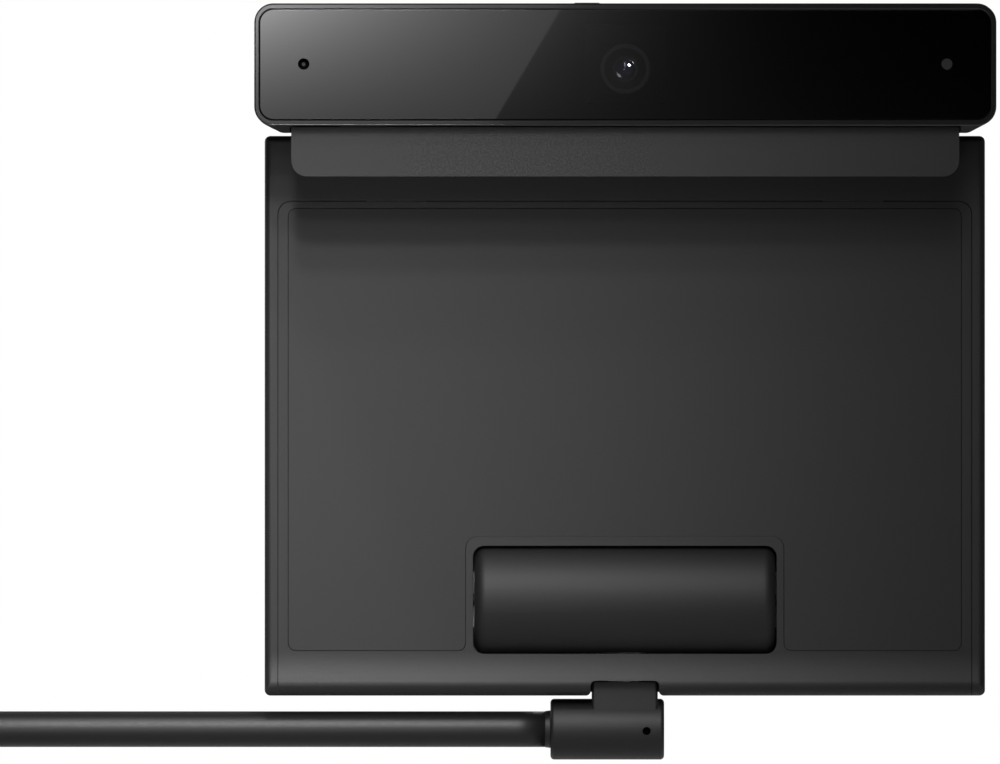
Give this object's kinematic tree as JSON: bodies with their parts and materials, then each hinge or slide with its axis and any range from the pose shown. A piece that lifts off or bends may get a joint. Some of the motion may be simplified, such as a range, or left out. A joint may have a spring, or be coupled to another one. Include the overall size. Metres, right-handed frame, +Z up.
{
  "type": "smart display camera bar",
  "caption": "Camera bar that hooks on a television's top edge: glass-fronted head, fold-up front lip, swinging rear leg with a rocking pad, and a right-angle plug on a thick cable.",
  "frame": {"origin": "the television's top front edge at the head's mid width: y = 0 is the lip's rubber face and z = 0 the head's underside", "axes": "+X to the viewer's right along the head, +Y to the rear of the television, +Z up"},
  "size_m": [0.373, 0.0806, 0.3965],
  "materials": {
    "graphite_shell": "fine satin moulded grain",
    "front_glass": "polished, tinted almost black",
    "black_plastic": "matt",
    "lip_plastic": "satin, lighter than the shell",
    "soft_touch_panel": "soft-touch matt",
    "black_rubber": "satin rubber",
    "steel": "plain steel",
    "aluminium": "rolled sheet",
    "lens_glass": "coated lens",
    "circuit_board": "solder mask",
    "light_pipe": "smoked light pipe",
    "thermal_pad": "soft pad",
    "antenna_copper": "foil",
    "cable_jacket": "satin jacket",
    "tie_fabric": "woven hook-and-loop strap"
  },
  "bodies": {
    "head": {"head_front_bezel": "graphite_shell", "front_glass": "front_glass", "head_shell": "graphite_shell", "head_chassis": "steel", "hinge_brackets": "steel", "hinge_pins": "steel", "lip_hinge_pins": "steel", "head_rest_pad": "black_rubber", "camera_baffle": "black_plastic", "camera_barrel": "black_plastic", "camera_lens": "lens_glass", "camera_board": "circuit_board", "camera_bracket": "steel", "microphone_gasket": "black_rubber", "microphone_board": "circuit_board", "status_light_pipe": "light_pipe", "status_light_board": "circuit_board", "speaker_left": "black_plastic", "speaker_right": "black_plastic", "head_screws": "steel"},
    "shutter": {"shutter_blade": "black_plastic", "shutter_slider": "graphite_shell"},
    "lip": {"front_lip": "lip_plastic", "lip_pad": "black_rubber"},
    "leg": {"leg_rear_shell": "graphite_shell", "leg_front_cover": "graphite_shell", "leg_soft_panel": "soft_touch_panel", "hinge_arm_left": "steel", "hinge_arm_right": "steel", "arm_screws": "steel", "main_board": "circuit_board", "processor_shield": "steel", "thermal_pad": "thermal_pad", "heat_spreader": "aluminium", "wifi_antennas": "antenna_copper", "port_board": "circuit_board", "port_socket": "steel", "rocker_bracket": "steel", "rocker_pin": "steel", "board_screws": "steel", "leg_screws": "steel"},
    "rocker": {"rocker_core": "black_plastic", "rocker_pad": "black_rubber"},
    "cable": {"plug_body": "cable_jacket", "plug_shell": "steel", "plug_light": "black_plastic", "strain_relief": "cable_jacket", "cable": "cable_jacket", "cable_hank": "cable_jacket", "cable_tail": "cable_jacket", "cable_tie": "tie_fabric", "far_plug_body": "cable_jacket", "far_plug_shell": "steel"}
  },
  "joints": [
    {"name": "shutter_slide", "type": "slide", "parent": "head", "child": "shutter", "axis": [1, 0, 0], "range_m": [0, 0.0172]},
    {"name": "lip_fold", "type": "hinge", "parent": "head", "child": "lip", "pos_m": [0, -0.0019, 0.0032], "axis": [1, 0, 0], "range_deg": [0, 90]},
    {"name": "leg_swing", "type": "hinge", "parent": "head", "child": "leg", "pos_m": [0, 0.034, 0.008], "axis": [1, 0, 0], "range_deg": [-12, 94]},
    {"name": "pad_rock", "type": "hinge", "parent": "leg", "child": "rocker", "pos_m": [0, 0.034, -0.1174], "axis": [1, 0, 0], "range_deg": [-8, 8]},
    {"name": "plug_pull", "type": "slide", "parent": "leg", "child": "cable", "axis": [0, 0, -1], "range_m": [0, 0.014]}
  ]
}
